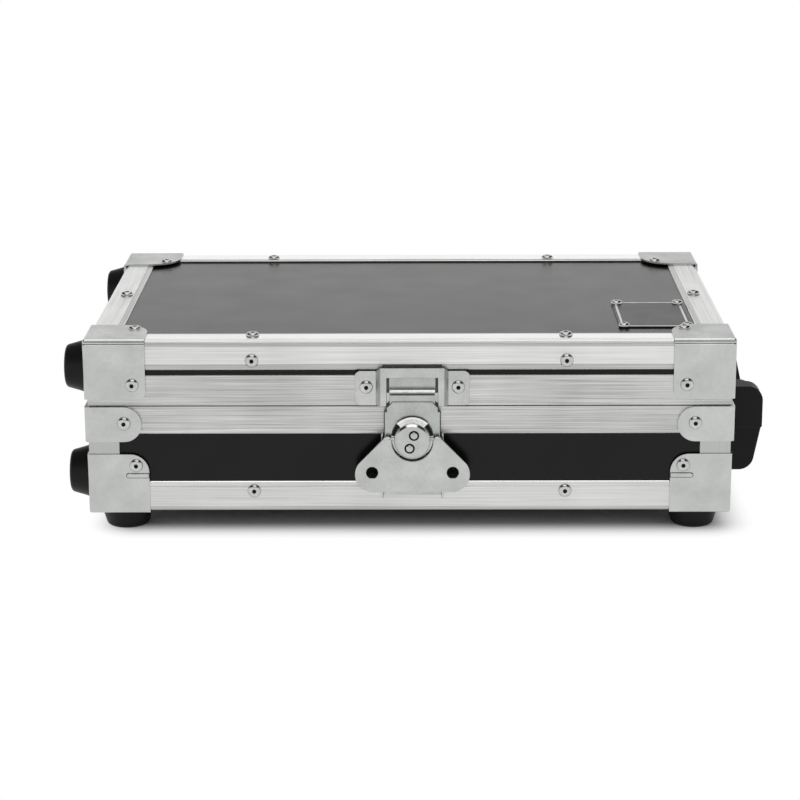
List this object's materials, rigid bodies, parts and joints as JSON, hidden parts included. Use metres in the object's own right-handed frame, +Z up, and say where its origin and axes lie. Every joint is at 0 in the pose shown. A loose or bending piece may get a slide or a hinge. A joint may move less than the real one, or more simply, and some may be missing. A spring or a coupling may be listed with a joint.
{
  "type": "small flight case",
  "caption": "Small hinged-lid flight case with aluminium-edged black panels, riveted steel corners, rubber feet, a rotary draw latch and a folding side handle.",
  "frame": {"origin": "middle of the bounding box of the closed case, at the level of the bottom feet's tips", "axes": "+X to the right along the width, towards the handle; +Y from the latch side to the hinge side; +Z up"},
  "size_m": [0.4219, 0.2628, 0.1209],
  "materials": {
    "black_laminate": "black laminate on plywood, fine satin texture",
    "mill_aluminium": "mill-finish extruded profile with fine lengthwise lines",
    "zinc_plated_steel": "bright zinc plate on pressed sheet",
    "die_cast_zinc": "plated casting, satin",
    "rivet_metal": "bright blind rivet heads",
    "screw_steel": "zinc-plated screws and pins",
    "black_rubber": "matt moulded rubber",
    "black_plastic": "moulded handle plastic, fine grain",
    "foam_lining": "charcoal open-cell foam",
    "bare_plate": "bare satin plate with a fine border"
  },
  "bodies": {
    "base": {"base_angle_back": "mill_aluminium", "base_angle_front": "mill_aluminium", "base_angle_left": "mill_aluminium", "base_angle_right": "mill_aluminium", "base_back_panel": "black_laminate", "base_bottom_panel": "black_laminate", "base_corner_posts": "mill_aluminium", "base_corners_front": "zinc_plated_steel", "base_corners_rear": "zinc_plated_steel", "base_foam_bed": "foam_lining", "base_foam_walls": "foam_lining", "base_front_panel": "black_laminate", "base_left_panel": "black_laminate", "base_rail_back": "mill_aluminium", "base_rail_front": "mill_aluminium", "base_rail_left": "mill_aluminium", "base_rail_right": "mill_aluminium", "base_right_panel": "black_laminate", "base_rim_corners": "zinc_plated_steel", "base_rivets": "rivet_metal", "base_side_feet": "black_rubber", "base_side_foot_screws": "screw_steel", "bottom_feet": "black_rubber", "bottom_foot_screws": "screw_steel", "handle_mount_front": "black_plastic", "handle_mount_rear": "black_plastic", "handle_pivot_pins": "screw_steel", "handle_screws": "screw_steel", "hinge_base_leaves": "zinc_plated_steel", "hinge_pins": "zinc_plated_steel", "latch_base_plate": "zinc_plated_steel", "latch_plate_rivets": "rivet_metal"},
    "lid": {"lid_angle_back": "mill_aluminium", "lid_angle_front": "mill_aluminium", "lid_angle_left": "mill_aluminium", "lid_angle_right": "mill_aluminium", "lid_corners_front": "zinc_plated_steel", "lid_corners_rear": "zinc_plated_steel", "lid_foam": "foam_lining", "lid_rail_back": "mill_aluminium", "lid_rail_front": "mill_aluminium", "lid_rail_left": "mill_aluminium", "lid_rail_right": "mill_aluminium", "lid_rivets": "rivet_metal", "lid_side_feet": "black_rubber", "lid_side_foot_screws": "screw_steel", "lid_top_panel": "black_laminate", "lid_wall_panels": "black_laminate", "hinge_lid_leaves": "zinc_plated_steel", "latch_keeper": "zinc_plated_steel", "name_plate": "bare_plate", "name_plate_rivets": "rivet_metal"},
    "latch_cam": {"latch_cam": "die_cast_zinc", "latch_cam_rivets": "rivet_metal", "latch_wing_pin": "screw_steel"},
    "latch_link": {"latch_link": "zinc_plated_steel"},
    "latch_wing": {"latch_wing": "zinc_plated_steel"},
    "handle": {"handle_grip": "black_plastic"}
  },
  "joints": [
    {"name": "lid_hinge", "type": "hinge", "parent": "base", "child": "lid", "pos_m": [-0.00665, 0.12825, 0.07845], "axis": [-1, 0, 0], "range_deg": [0, 105]},
    {"name": "latch_turn", "type": "hinge", "parent": "base", "child": "latch_cam", "pos_m": [-0.00485, -0.122, 0.061], "axis": [0, -1, 0], "range_deg": [0, 180]},
    {"name": "latch_slide", "type": "slide", "parent": "base", "child": "latch_link", "axis": [0, -0.2106, 0.9776], "range_m": [0, 0.00665]},
    {"name": "wing_fold", "type": "hinge", "parent": "latch_cam", "child": "latch_wing", "pos_m": [-0.00485, -0.12385, 0.0609], "axis": [-1, 0, 0], "range_deg": [0, 90]},
    {"name": "handle_swing", "type": "hinge", "parent": "base", "child": "handle", "pos_m": [0.19645, 0.00525, 0.0637], "axis": [0, -1, 0], "range_deg": [0, 90]}
  ],
  "couplings": [
    {"joint": "latch_slide", "follows": "latch_turn", "m_per_rad": 0.0021165}
  ]
}
